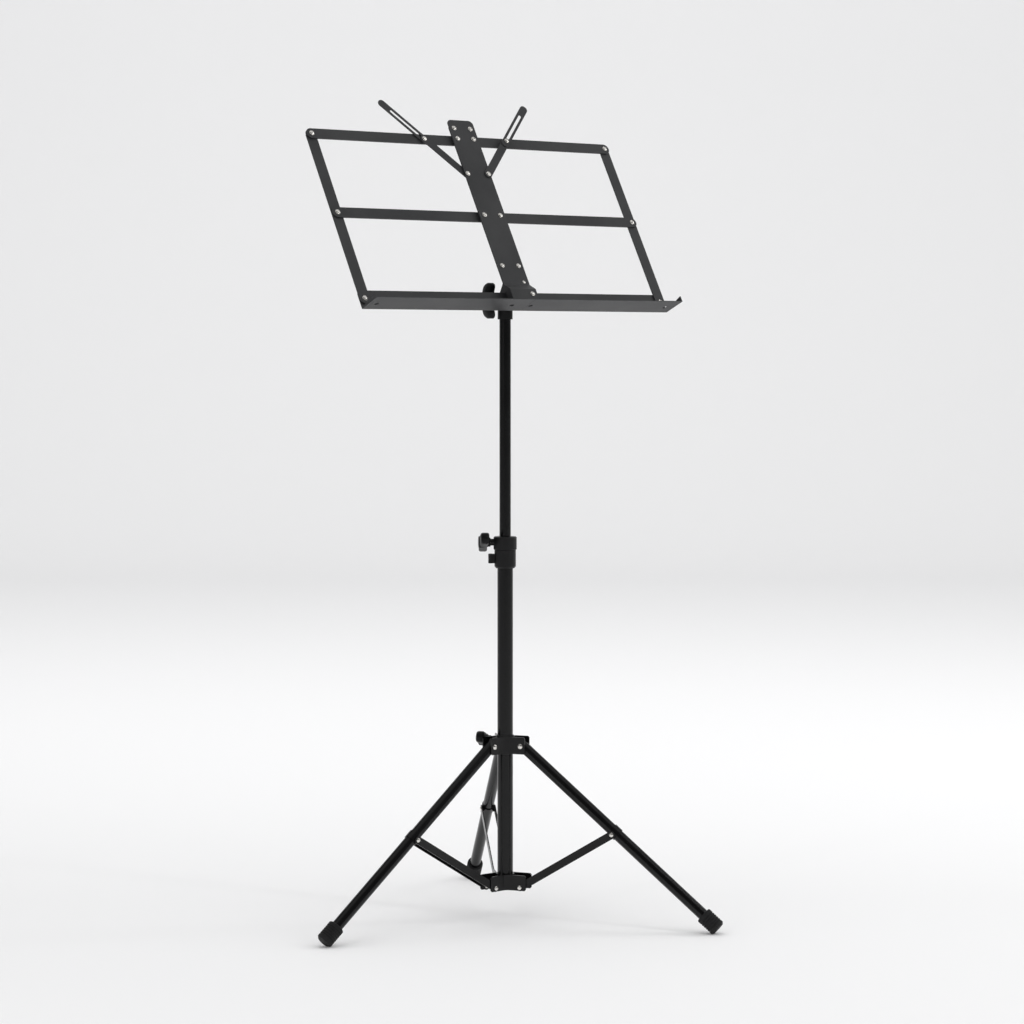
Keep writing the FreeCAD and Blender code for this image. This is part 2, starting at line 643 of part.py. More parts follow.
def make_clamp_knobs():
    for name, turn, height, wing_turn, start, neck_end, tip in (
            ("height", COLLAR_TURN, "height_knob_z", 68.0, "collar_boss_end + 0.4", "24.6", "upper_r + 0.3"),
            ("tripod", SLIDE_TURN, "slide_knob_z", 70.0, "lower_r + 9.4", "25.6", "lower_r + 0.3")):
        place = about_pole(turn) * Placement(Vector(0, 0, size(height)), Rotation(X_AXIS, 90 - wing_turn))
        wing_knob(f"{name}_knob", place, start, neck_end, f"{neck_end} + 8")
        screw(f"{name}_knob_screw", place, size(tip), f"{neck_end} + 8 - ( {tip} )")


# ---------------------------------------------------------------- head and desk
def make_head():
    head = keep(new_body("swivel_head"))
    tube(head, "head_r", "upper_r + fit_gap", "head_bottom", "upper_top + 0.3 - head_bottom")
    lid = sketch_on(head, "XY_Plane", "upper_top + 0.3")
    add_circle(lid, "0", "0", "head_r")
    pad(head, lid, "head_top - upper_top - 0.3")
    tongue = sketch_on(head, "YZ_Plane", "0 - tongue_half")
    add_box(tongue, "tilt_back - tongue_r", "tilt_back + tongue_r", "head_top - 1", "tilt_z")
    pad(head, tongue, "2 * tongue_half")
    crown = sketch_on(head, "YZ_Plane", "0 - tongue_half")
    add_circle(crown, "tilt_back", "tilt_z", "tongue_r")
    pad(head, crown, "2 * tongue_half")
    bolt_hole = sketch_on(head, "YZ_Plane", "0 - tongue_half - 1")
    add_circle(bolt_hole, "tilt_back", "tilt_z", "screw_r + fit_gap")
    cut(head, bolt_hole, "2 * tongue_half + 2", along_normal=True)


def plate_profile(inset):
    """Side view of the plate's stepped foot, or of its flange when inset is the sheet."""
    return [("plate_bend + 2", f"0 - {inset}"), ("plate_bend", f"0 - {inset}"),
            ("plate_foot", f"plate_step - {inset}"), ("plate_low", f"plate_step - {inset}")]


def make_centre_plate():
    plate = keep(new_body("centre_plate", DESK))
    face = sketch_on(plate, "XY_Plane", "0 - sheet")
    add_box(face, "0 - plate_half", "plate_half", "plate_bend + 1", "plate_top")
    for side in ("", "0 - "):
        for x_text, y_text in (("pivot_half", "top_row"), ("pivot_half", "mid_row"),
                               ("14", "top_row + 17.5"), ("13.9", "51"), ("page_half", "page_row")):
            add_circle(face, side + x_text, y_text, "pin_r + 0.02")
    pad(plate, face, "sheet")
    foot = sketch_on(plate, "YZ_Plane", "0 - plate_half")
    add_outline(foot, plate_profile("0") + plate_profile("sheet")[::-1])
    pad(plate, foot, "2 * plate_half")
    for level in ("0 - plate_half", "plate_half - sheet"):
        flange = sketch_on(plate, "YZ_Plane", level)
        add_outline(flange, [("plate_top - 12", "0 - 0.2")] + plate_profile("0.2")
                    + [("plate_low", "0 - plate_flange"), ("plate_top - 12", "0 - plate_flange")])
        pad(plate, flange, "sheet")
    top, half = size("plate_top"), size("plate_half")
    round_edges(plate, "7", lambda middle, edge: middle.y > top - 0.1
                and abs(abs(middle.x) - half) < 0.1 and abs(edge.Length - size("sheet")) < 0.1)
    tray_pins = sketch_on(plate, "XY_Plane", "plate_step + 1")
    add_circle(tray_pins, "pivot_half", "0", "pin_r + 0.02")
    cut(plate, tray_pins, "4")
    foot_pin = sketch_on(plate, "XY_Plane", "1")
    add_circle(foot_pin, "13.6", "24.5", "pin_r + 0.02")
    cut(plate, foot_pin, "3")


def make_tilt_bracket():
    rear = "bracket_layer - 1.5"
    body = keep(new_body("tilt_bracket", DESK))
    web = sketch_on(body, "XY_Plane", rear)
    add_box(web, "0 - bracket_half", "bracket_half", "-8", "10")
    pad(body, web, "1.5")
    spine = sketch_on(body, "XY_Plane", rear)
    half = "( cheek_gap + cheek_sheet )"
    add_box(spine, f"0 - {half}", half, "9", "44")
    pad(body, spine, "1.5")
    step = sketch_on(body, "XY_Plane", rear)
    add_box(step, f"0 - {half}", half, "42.5", "44")
    pad(body, step, "0 - ( bracket_layer - 1.5 ) - sheet")
    flange = sketch_on(body, "XY_Plane", "0 - sheet - 1.5")
    add_box(flange, "0 - bracket_half + 0.5", "bracket_half - 0.5", "42.5", "60")
    pad(body, flange, "1.5")
    for level in ("cheek_gap", f"0 - {half}"):
        cheek = sketch_on(body, "YZ_Plane", level)
        add_outline(cheek, [("tilt_above - 9", rear), ("tilt_above + 22", rear),
                            ("tilt_above + cheek_r", "0 - tilt_behind"),
                            ("tilt_above - cheek_r", "0 - tilt_behind")])
        pad(body, cheek, "cheek_sheet")
        lobe = sketch_on(body, "YZ_Plane", level)
        add_circle(lobe, "tilt_above", "0 - tilt_behind", "cheek_r")
        pad(body, lobe, "cheek_sheet")
    bolt_hole = sketch_on(body, "YZ_Plane", f"0 - ( {half} ) - 1")
    add_circle(bolt_hole, "tilt_above", "0 - tilt_behind", "screw_r + 0.02")
    cut(body, bolt_hole, f"2 * ( {half} ) + 2", along_normal=True)
    pins = sketch_on(body, "XY_Plane", "0 - sheet + 1")
    for side in ("", "0 - "):
        add_circle(pins, side + "13.9", "51", "pin_r + 0.02")
        add_circle(pins, side + "pivot_half", "0", "pin_r + 0.02")
    cut(body, pins, "16")


def make_tilt_clamp():
    axis = DESK * Placement(Vector(0, size("tilt_above"), -size("tilt_behind")), Rotation())
    bolt = keep(new_body("tilt_bolt", axis))
    shank = sketch_on(bolt, "YZ_Plane", "-29")
    add_circle(shank, "0", "0", "screw_r")
    pad(bolt, shank, "29 + cheek_gap + cheek_sheet")
    head = sketch_on(bolt, "YZ_Plane", "cheek_gap + cheek_sheet")
    hexagon = [(f"{5.6 * math.cos(math.radians(60 * k)):.4f}", f"{5.6 * math.sin(math.radians(60 * k)):.4f}")
               for k in range(6)]
    add_outline(head, hexagon)
    pad(bolt, head, "4")

    place = axis * Placement(Vector(), Rotation(Z_AXIS, 180)) * Placement(
        Vector(), Rotation(X_AXIS, 180 - size("desk_lean")))
    wing_knob("tilt_knob", place, "cheek_gap + cheek_sheet + 0.4", "22", "29.5")


def link(label, place, length, holes, depth):
    """A pressed strip with round ends and two shallow edge flanges, along local X."""
    body = keep(new_body(label, place))
    face = sketch_on(body, "XY_Plane", "0 - bar_skin")
    add_obround(face, "0", length, "0", "bar_half")
    for hole in holes:
        add_circle(face, hole, "0", "pin_r + 0.05")
    pad(body, face, "bar_skin")
    for low, high in (("bar_half - bar_skin", "bar_half"), ("0 - bar_half", "bar_skin - bar_half")):
        flange = sketch_on(body, "XY_Plane", f"0 - {depth}")
        add_box(flange, "1", f"{length} - 1", low, high)
        pad(body, flange, f"{depth} - bar_skin + 0.2")
    return body


def make_tray_half(name, side):
    """One half of the tray: a wall, a shelf and an upturned tab at its outer end."""
    body = keep(new_body(f"tray_half_{name}", on_desk(f"{side} * pivot_half", "0")))
    sign = "" if side > 0 else "0 - "
    outer = "desk_half - pivot_half + tray_overhang"
    rear = "wall_layer - tray_sheet"
    start = "0 - tray_inner" if side > 0 else f"0 - ( {outer} )"
    section = sketch_on(body, "YZ_Plane", start)
    add_outline(section, [("tray_root", rear), ("tray_front_drop", "tray_front"),
                          ("tray_front_drop + tray_sheet", "tray_front"),
                          ("tray_root + tray_sheet", "wall_layer"),
                          ("tray_wall_top", "wall_layer"), ("tray_wall_top", rear)])
    pad(body, section, f"tray_inner + {outer}")
    top, inner_x, outer_x = size("tray_wall_top"), -side * size("tray_inner"), side * size(outer)
    round_edges(body, "tray_round", lambda middle, edge: abs(middle.y - top) < 0.1
                and abs(middle.x - inner_x) < 0.1)
    round_edges(body, "7", lambda middle, edge: abs(middle.y - top) < 0.1
                and abs(middle.x - outer_x) < 0.1)
    tab_level = f"{outer} - tray_sheet" if side > 0 else f"0 - ( {outer} )"
    tab = sketch_on(body, "YZ_Plane", tab_level)
    add_outline(tab, [("tray_front_drop + 0.5", "tray_front"),
                      ("tray_front_drop + tab_height", "tray_front"),
                      ("tray_front_drop + tab_height", "tray_front - 2"),
                      ("tray_root + 1.2", "wall_layer + 3.3"), ("tray_root + 0.5", "wall_layer + 3")])
    pad(body, tab, "tray_sheet")
    pivots = sketch_on(body, "XY_Plane", "wall_layer + 1")
    add_circle(pivots, "0", "0", "pin_r + 0.05")
    add_circle(pivots, sign + "( desk_half - pivot_half )", "0", "pin_r + 0.05")
    cut(body, pivots, "tray_sheet + 2")
    access = sketch_on(body, "XZ_Plane", "24")
    for hole in (("-8.2", "231.3") if side > 0 else ("-12.8", "-235.3")):
        add_circle(access, hole, "tray_hole_n", "tray_hole_r")
    cut(body, access, "12")


def make_desk_side(name, side):
    turn = 0.0 if side > 0 else 180.0
    inner = f"{side} * pivot_half"
    length = "desk_half - pivot_half"
    for row, height in (("top", "top_row"), ("middle", "mid_row")):
        link(f"{row}_bar_{name}", on_desk(inner, height, "bar_layer", turn), length,
             ["0", length], "bar_depth")
    strut_place = on_desk(f"{side} * desk_half", "0", "strut_layer", 90.0)
    link(f"side_strut_{name}", strut_place, "top_row", ["0", "mid_row", "top_row"], "bar_depth")
    make_tray_half(name, side)

    pin, front, back = size("pin_r"), size("bar_layer"), size("strut_layer") - size("bar_skin")
    bar_rivet = headed_pin(pin, back - 0.1, front + 0.1, 3.1, 1.6, tail_r=3.6, tail_h=0.8, washer=0.5,
                           spacers=[(4.0, size("strut_layer") + 0.05, front - size("bar_skin") - 0.1)])
    strut_front = size("strut_layer")
    wall_back = size("wall_layer") - size("tray_sheet")
    foot_rivet = headed_pin(pin, wall_back - 0.1, strut_front, 3.1, 1.6, tail_r=3.6, tail_h=0.8,
                            washer=0.5, spacers=[(4.0, size("wall_layer") + 0.1,
                                                  strut_front - size("bar_skin"))])
    places = [on_desk(f"{side} * desk_half", height) for height in ("top_row", "mid_row")]
    rivet_group(f"strut_rivets_{name}", [(bar_rivet, places),
                                         (foot_rivet, [on_desk(f"{side} * desk_half", "0")])])


def make_desk_rivets():
    pin, plate_back = size("pin_r"), -size("sheet")
    bar_back = size("bar_layer") - size("bar_skin")
    pivot = headed_pin(pin, bar_back - 0.1, 0.0, 3.1, 1.6, tail_r=3.6, tail_h=0.8, washer=0.5,
                       spacers=[(4.0, size("bar_layer") + 0.1, plate_back)])
    spots = [on_desk(f"{side} * pivot_half", height) for side in SIDES.values()
             for height in ("top_row", "mid_row")]
    step = size("plate_step")
    web_front = size("bracket_layer")
    tray_pin = headed_pin(pin, web_front - 1.5, step, 3.1, 1.6, tail_r=3.4, tail_h=1.0, washer=0.5,
                          spacers=[(3.6, size("wall_layer") + 0.1, step - size("sheet"))])
    hidden_pin = headed_pin(pin, web_front - 1.5, step - size("sheet"), 0.0, 0.0, tail_r=3.4, tail_h=1.0,
                            spacers=[(3.6, size("wall_layer") + 0.1, step - size("sheet") - 0.5)])
    rivet_group("bar_pivot_rivets", [(pivot, spots), (tray_pin, [on_desk("pivot_half", "0")]),
                                     (hidden_pin, [on_desk("0 - pivot_half", "0")])])

    fixing = headed_pin(pin, plate_back - 1.5, 0.0, 3.1, 1.6, tail_r=3.4, tail_h=0.9, washer=0.5)
    short = headed_pin(pin, plate_back, 0.0, 3.1, 1.6, tail_r=3.4, tail_h=0.9, washer=0.5)
    rivet_group("plate_rivets", [
        (fixing, [on_desk(f"{side} * 13.9", "51") for side in SIDES.values()]),
        (short, [on_desk(f"{side} * 14", "top_row + 17.5") for side in SIDES.values()]),
        (headed_pin(pin, plate_back, 0.0, 2.5, 1.2, tail_r=2.6, tail_h=0.6), [on_desk("13.6", "24.5")])])


def make_page_holder(name, side):
    """A page arm pivoted on the plate with a slotted finger that slides on its stud."""
    thick = size("page_sheet")
    turn = size("page_angle") if side > 0 else 180 - size("page_angle")
    arm_back, finger_back = ("0.5", "1.7") if side > 0 else ("-3.6", "-4.8")
    pivot = on_desk(f"{side} * page_half", "page_row", "0", turn)
    arm = keep(new_body(f"page_arm_{name}", pivot))
    face = sketch_on(arm, "XY_Plane", arm_back)
    add_obround(face, "0", "page_stud", "0", "page_width")
    add_circle(face, "0", "0", "pin_r + 0.05")
    add_circle(face, "page_stud", "0", "pin_r + 0.02")
    pad(arm, face, "page_sheet")

    finger = keep(new_body(f"page_finger_{name}", pivot))
    strip = sketch_on(finger, "XY_Plane", finger_back)
    add_obround(strip, "finger_tail", "finger_tip", "0", "page_width")
    add_obround(strip, "page_stud", "slot_top", "0", "slot_half")
    pad(finger, strip, "page_sheet")

    low = min(float(arm_back), float(finger_back))
    high = max(float(arm_back), float(finger_back)) + thick
    stud = headed_pin(size("pin_r"), low - 0.05, high + 0.05, 2.9, 1.5, tail_r=3.4,
                      tail_h=0.5 if side > 0 else 0.7, washer=0.4)
    stud_place = pivot * Placement(Vector(size("page_stud"), 0, 0), Rotation())
    if side > 0:
        stud = headed_pin(size("pin_r"), low, high + 0.1, 2.9, 1.5, washer=0.4)
    rivet_group(f"page_stud_{name}", [(stud, [stud_place])])


def make_page_pivots():
    """Rivets that carry the page arms: the right arm is before the plate, the left one behind it."""
    pin, back, thick = size("pin_r"), -size("sheet"), size("page_sheet")
    left = headed_pin(pin, -3.6 - 0.1, 0.0, 3.1, 1.6, tail_r=3.4, tail_h=0.8, washer=0.5)
    right = headed_pin(pin, back, 0.5 + thick + 0.1, 3.1, 1.5, tail_r=2.8, tail_h=0.8, washer=0.4,
                       spacers=[(3.4, 0.0, 0.45)])
    rivet_group("page_pivot_rivets", [(left, [on_desk("0 - page_half", "page_row")]),
                                      (right, [on_desk("page_half", "page_row")])])


# ---------------------------------------------------------------- build, check and write
def build():
    make_pole()
    make_brackets()
    for name, azimuth in LEGS.items():
        make_leg(name, azimuth)
        make_brace(name, azimuth)
    make_leg_hinges()
    make_collar()
    make_clamp_knobs()
    make_head()
    make_centre_plate()
    make_tilt_bracket()
    make_tilt_clamp()
    for name, side in SIDES.items():
        make_desk_side(name, side)
        make_page_holder(name, side)
    make_desk_rivets()
    make_page_pivots()
    doc.recompute()


def check():
    for item in doc.Objects:
        if {"Invalid", "Error"} & set(item.State):
            raise RuntimeError(f"{item.Label}: {item.State}")
    labels = [node.Label for node in NODES]
    if len(set(labels)) != len(labels):
        raise RuntimeError("two sub-parts share a name")
    for node in NODES:
        if node.Shape.isNull() or not node.Shape.isValid() or not node.Shape.Solids:
            raise RuntimeError(f"{node.Label}: bad shape")


def write():
    os.makedirs("parts", exist_ok=True)
    for node in NODES:
        node.Shape.exportStep(f"parts/{node.Label}.step")
    print(len(NODES), "sub-parts")
    print("leg length", round(LEG_LENGTH, 3), "brace length", round(BRACE_LENGTH, 3))


build()
check()
write()
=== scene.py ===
import json
import math

import bmesh
import bpy
from mathutils import Matrix, Vector


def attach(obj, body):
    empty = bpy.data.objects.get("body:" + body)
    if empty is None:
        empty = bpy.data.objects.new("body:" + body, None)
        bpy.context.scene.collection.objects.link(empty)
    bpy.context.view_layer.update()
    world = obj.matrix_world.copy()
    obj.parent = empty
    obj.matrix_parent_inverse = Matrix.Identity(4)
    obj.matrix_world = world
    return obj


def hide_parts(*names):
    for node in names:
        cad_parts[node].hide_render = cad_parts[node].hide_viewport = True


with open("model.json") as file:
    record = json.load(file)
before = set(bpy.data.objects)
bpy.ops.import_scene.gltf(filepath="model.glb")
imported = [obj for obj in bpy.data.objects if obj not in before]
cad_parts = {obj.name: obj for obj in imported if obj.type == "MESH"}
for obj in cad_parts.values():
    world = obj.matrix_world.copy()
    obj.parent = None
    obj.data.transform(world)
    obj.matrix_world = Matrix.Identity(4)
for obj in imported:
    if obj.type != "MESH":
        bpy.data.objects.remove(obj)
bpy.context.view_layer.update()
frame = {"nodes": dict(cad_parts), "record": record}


# ---------------------------------------------------------------- node graph helpers
class Graph:
    """A material's node tree with short ways to add and join nodes."""

    def __init__(self, name):
        self.material = bpy.data.materials.new(name)
        self.material.use_nodes = True
        self.tree = self.material.node_tree
        self.tree.nodes.clear()
        self.output = self.add("ShaderNodeOutputMaterial")
        self.shader = self.add("ShaderNodeBsdfPrincipled")
        self.join(self.shader.outputs["BSDF"], self.output.inputs["Surface"])

    def add(self, kind, **values):
        node = self.tree.nodes.new(kind)
        for key, value in values.items():
            setattr(node, key, value)
        return node

    def join(self, source, target):
        self.tree.links.new(source, target)

    def noise(self, place, scale, detail=3.0, roughness=0.55):
        node = self.add("ShaderNodeTexNoise")
        node.inputs["Scale"].default_value = scale
        node.inputs["Detail"].default_value = detail
        node.inputs["Roughness"].default_value = roughness
        self.join(place, node.inputs["Vector"])
        return node.outputs["Fac"]

    def spread(self, source, low, high, out_low, out_high):
        """Map a value's low..high onto out_low..out_high, clamped."""
        node = self.add("ShaderNodeMapRange")
        for socket, value in (("From Min", low), ("From Max", high), ("To Min", out_low),
                              ("To Max", out_high)):
            node.inputs[socket].default_value = value
        self.join(source, node.inputs["Value"])
        return node.outputs["Result"]

    def mix(self, factor, first, second):
        node = self.add("ShaderNodeMix", data_type="RGBA")
        self.join(factor, node.inputs["Factor"])
        for socket, colour in ((node.inputs[6], first), (node.inputs[7], second)):
            if isinstance(colour, bpy.types.NodeSocket):
                self.join(colour, socket)
            else:
                socket.default_value = (*colour, 1.0)
        return node.outputs[2]

    def maths(self, operation, first, second):
        node = self.add("ShaderNodeMath", operation=operation)
        for socket, value in ((node.inputs[0], first), (node.inputs[1], second)):
            if isinstance(value, bpy.types.NodeSocket):
                self.join(value, socket)
            else:
                socket.default_value = value
        return node.outputs[0]

    def bump(self, height, strength, distance):
        node = self.add("ShaderNodeBump")
        node.inputs["Strength"].default_value = strength
        node.inputs["Distance"].default_value = distance
        self.join(height, node.inputs["Height"])
        return node.outputs["Normal"]


def painted(name, dark, light, rough, specular, texture=0.12, edge_highlight_colour=None, grain_share=0.25):
    """Powder coat or enamel: a fine orange peel, faint tone changes and a paler painted highlight along
    sharp edges.
    """
    graph = Graph(name)
    place = graph.add("ShaderNodeTexCoord").outputs["Object"]
    cloud = graph.noise(place, 14.0, 4.0)
    grain = graph.noise(place, 900.0, 2.0)
    peel = graph.noise(place, 420.0, 2.0)
    tone = graph.mix(graph.spread(cloud, 0.35, 0.65, 0.0, 1.0), dark, light)
    colour = graph.mix(graph.spread(grain, 0.60, 0.75, 0.0, grain_share), tone, [c * 2.4 for c in light])
    # Painted highlight: sharp edges are mixed towards a paler colour, as where a bend catches light.
    if edge_highlight_colour is not None:
        colour = graph.mix(painted_edge_highlight(graph, place), colour, edge_highlight_colour)
    graph.join(colour, graph.shader.inputs["Base Color"])
    graph.join(graph.spread(cloud, 0.3, 0.7, *rough), graph.shader.inputs["Roughness"])
    graph.shader.inputs["Specular IOR Level"].default_value = specular
    graph.join(graph.bump(peel, texture, 0.0004), graph.shader.inputs["Normal"])
    return graph.material


def painted_edge_highlight(graph, place, radius=0.0007):
    """1 on the sharp edges of a pressed part, in patches, and 0 on its faces: where the painted edge
    highlight goes.
    """
    bevel = graph.add("ShaderNodeBevel", samples=4)
    bevel.inputs["Radius"].default_value = radius
    normal = graph.add("ShaderNodeNewGeometry")
    dot = graph.add("ShaderNodeVectorMath", operation="DOT_PRODUCT")
    graph.join(bevel.outputs["Normal"], dot.inputs[0])
    graph.join(normal.outputs["Normal"], dot.inputs[1])
    # Painted highlight mask: strongest where the rounded normal turns away from the face's normal.
    edge_mask = graph.spread(dot.outputs["Value"], 0.97, 0.80, 0.0, 1.0)
    patchy = graph.spread(graph.noise(place, 60.0, 4.0), 0.45, 0.7, 0.10, 0.9)
    return graph.maths("MULTIPLY", edge_mask, patchy)


def moulded(name, dark, light, rough, specular=0.3, texture=0.2, scale=1400.0):
    """Moulded plastic or rubber with a fine spark texture and slight bloom."""
    graph = Graph(name)
    place = graph.add("ShaderNodeTexCoord").outputs["Object"]
    cloud = graph.noise(place, 30.0, 5.0)
    spark = graph.noise(place, scale, 2.0)
    colour = graph.mix(graph.spread(cloud, 0.35, 0.7, 0.0, 1.0), dark, light)
    graph.join(colour, graph.shader.inputs["Base Color"])
    graph.join(graph.spread(spark, 0.3, 0.7, *rough), graph.shader.inputs["Roughness"])
    graph.shader.inputs["Specular IOR Level"].default_value = specular
    graph.join(graph.bump(spark, texture, 0.0003), graph.shader.inputs["Normal"])
    return graph.material


def plated(name, colour, dull, rough):
    """Nickel plate with fine swirl marks and duller patches."""
    graph = Graph(name)
    place = graph.add("ShaderNodeTexCoord").outputs["Object"]
    cloud = graph.noise(place, 220.0, 4.0)
    fine = graph.noise(place, 1800.0, 2.0)
    graph.join(graph.mix(graph.spread(cloud, 0.4, 0.75, 0.0, 1.0), colour, dull),
               graph.shader.inputs["Base Color"])
    graph.shader.inputs["Metallic"].default_value = 1.0
    graph.join(graph.spread(fine, 0.3, 0.7, *rough), graph.shader.inputs["Roughness"])
    graph.join(graph.bump(cloud, 0.08, 0.0003), graph.shader.inputs["Normal"])
    return graph.material


# Each finish: darkest and lightest base colour, then its range of roughness.
MATERIALS = {
    "tube_black": painted(
        "tube_enamel", (0.0018, 0.0018, 0.002), (0.003, 0.003, 0.0033), (0.19, 0.26),
        specular=0.30, texture=0.05, grain_share=0.1),
    "desk_black": painted(
        "desk_powder_coat", (0.024, 0.0245, 0.026), (0.034, 0.0345, 0.036), (0.42, 0.52),
        # The paler edge colour is a painted highlight on the desk's sharp edges.
        specular=0.30, texture=0.16, edge_highlight_colour=(0.10, 0.10, 0.103)),
    "collar_black": moulded(
        "collar_plastic", (0.007, 0.007, 0.0073), (0.011, 0.011, 0.0115), (0.34, 0.46), specular=0.2),
    "knob_black": moulded(
        "knob_plastic", (0.0035, 0.0035, 0.0037), (0.006, 0.006, 0.0063), (0.30, 0.42), specular=0.15),
    "rubber_black": moulded(
        "foot_rubber", (0.010, 0.010, 0.0105), (0.016, 0.016, 0.0165), (0.55, 0.72), specular=0.2),
    "nickel": plated("nickel_plate", (0.86, 0.84, 0.80), (0.70, 0.68, 0.65), (0.18, 0.30)),
    "bush_plastic": moulded("bush_nylon", (0.02, 0.02, 0.02), (0.03, 0.03, 0.03), (0.5, 0.6)),
}
SLOTS = {part["node"]: part["material_slot"] for part in frame["record"]["subparts"]}

for node, item in frame["nodes"].items():
    item.data.materials.clear()
    item.data.materials.append(MATERIALS[SLOTS[node]])


# ---------------------------------------------------------------- pieces
def add_piece(name, mesh, body, slot):
    """Link a mesh as a smooth-shaded piece that rides on a body."""
    bmesh.ops.recalc_face_normals(mesh, faces=mesh.faces)
    data = bpy.data.meshes.new(name)
    mesh.to_mesh(data)
    mesh.free()
    for face in data.polygons:
        face.use_smooth = True
    data.materials.append(MATERIALS[slot])
    piece = bpy.data.objects.new(name, data)
    bpy.context.scene.collection.objects.link(piece)
    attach(piece, body)
    return piece


def join_rings(mesh, rings):
    """Close a tube of vertex rings, with a flat cap at each end."""
    for first, second in zip(rings, rings[1:]):
        for k in range(len(first)):
            n = (k + 1) % len(first)
            mesh.faces.new((first[k], first[n], second[n], second[k]))
    mesh.faces.new(rings[0][::-1])
    mesh.faces.new(rings[-1])


def turned(mesh, place, profile, sides=40):
    """A solid of revolution about the local X axis; profile is a list of (x, radius) in mm."""
    turns = [2 * math.pi * k / sides for k in range(sides)]
    rings = []
    for x, radius in profile:
        points = [Vector((x, radius * math.cos(turn), radius * math.sin(turn))) for turn in turns]
        rings.append([mesh.verts.new(place @ (point / 1000)) for point in points])
    join_rings(mesh, rings)


def wing_section(across, low, high, half, corner=2.6):
    """One slice of a knob's wing at a distance along it: a rounded rectangle in axial x and z."""
    corner = min(corner, half * 0.9)
    points = []
    for cx, cz, start in ((high - corner, half - corner, 0), (low + corner, half - corner, 90),
                          (low + corner, corner - half, 180), (high - corner, corner - half, 270)):
        for step in (0, 45, 90):
            angle = math.radians(start + step)
            points.append((cx + corner * math.cos(angle), across, cz + corner * math.sin(angle)))
    return points


WING_REACH, WING_LOBE, WING_THICK = 25.0, 8.0, 12.0     # tip, end radius and depth of a wing, mm
WING_STATIONS = (24.85, 24.4, 23.0, 21.0, 18.5, 15.0, 10.0, 5.0)
TIP_TRIM, WAIST_DIP, WAIST_HALF = 1.4, 1.2, 12.0


def wing_knob(node, place, neck_start, wing_start, bend):
    """A clamp knob: a neck, a crown and two wings whose tips lean back by bend mm."""
    mesh = bmesh.new()
    rings = []
    stations = [-station for station in WING_STATIONS] + [0.0] + list(WING_STATIONS[::-1])
    for across in stations:
        past = max(abs(across) - (WING_REACH - WING_LOBE), 0.0) / WING_LOBE
        half = max(WING_LOBE * math.sqrt(max(1.0 - past ** 2, 0.0)), 1.6)
        lean = bend * (across / WING_REACH) ** 2
        trim = TIP_TRIM * past ** 3
        dip = WAIST_DIP * max(1.0 - abs(across) / WAIST_HALF, 0.0)
        low, high = wing_start - lean + trim + dip, wing_start + WING_THICK - lean - trim
        rings.append([mesh.verts.new(place @ (Vector(point) / 1000))
                      for point in wing_section(across, low, high, half)])
    join_rings(mesh, rings)
    crown = wing_start + WING_THICK
    turned(mesh, place, ((wing_start + 2, 6.0), (wing_start + 2, 8.2), (crown, 8.6),
                         (crown + 0.7, 8.2), (crown + 1.0, 7.4), (crown + 1.0, 1.0)))
    turned(mesh, place, ((neck_start, 1.0), (neck_start, 5.9), (neck_start + 0.6, 6.5),
                         (wing_start - 1.5, 6.3), (wing_start + 2.5, 7.4), (wing_start + 2.5, 1.0)))
    piece = add_piece(node + "_wings", mesh, node, "knob_black")
    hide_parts(node)


def about_pole(azimuth, height, roll):
    """Local X outwards from the pole at an azimuth, rolled about itself, in metres and degrees."""
    return (Matrix.Translation((0, 0, height)) @ Matrix.Rotation(math.radians(azimuth), 4, "Z")
            @ Matrix.Rotation(math.radians(roll), 4, "X"))


def about_tilt_axis():
    """Local X along the desk's tilt axis towards its knob, local Y upright."""
    return (Matrix.Translation((0, 0.003, 0.8708)) @ Matrix.Rotation(math.pi, 4, "Z")
            @ Matrix.Rotation(math.pi / 2, 4, "X"))


COLLAR_TURN = 150      # azimuth of the height knob and of the lug under it, degrees
wing_knob("height_knob", about_pole(COLLAR_TURN, 0.533, 22), 20.9, 24.6, 1.0)
wing_knob("tripod_knob", about_pole(123, 0.2525, 20), 21.7, 25.6, 1.5)
wing_knob("tilt_knob", about_tilt_axis(), 15.0, 22.0, 5.0)


def ribbed_lug():
    """Level ribs round the sides of the collar's lug, fading out on its front."""
    mesh = bmesh.new()
    place = about_pole(COLLAR_TURN, 0.0, 0)
    centre, low, high, lug_radius = 19.3, 503.3, 516.8, 4.5
    steps, points, skin, rib_height, end_inset = 28, 24, 0.08, 0.45, 0.5
    rings = []
    for step in range(steps + 1):
        height = low + (high - low) * step / steps
        rib = rib_height if (step // 2) % 2 else skin
        if step in (0, steps):
            rib = -end_inset
        ring = []
        for k in range(points):
            angle = math.radians(-100 + 200 * k / (points - 1))
            radius = lug_radius + min(rib, skin + 0.4 * math.sin(angle) ** 2)
            spot = Vector((centre + radius * math.cos(angle), radius * math.sin(angle), height))
            ring.append(mesh.verts.new(place @ (spot / 1000)))
        rings.append(ring)
    join_rings(mesh, rings)
    add_piece("collar_lug_ribs", mesh, "base", "collar_black")


ribbed_lug()


# ---------------------------------------------------------------- studio
VIEW = (0.588, 0.807, -0.0563)      # the way the camera looks
FLOOR_FRONT, FLOOR_BACK, FLOOR_HALF = -9.0, 6.0, 14.0
CURVE_RADIUS, WALL_TOP = 2.0, 9.0


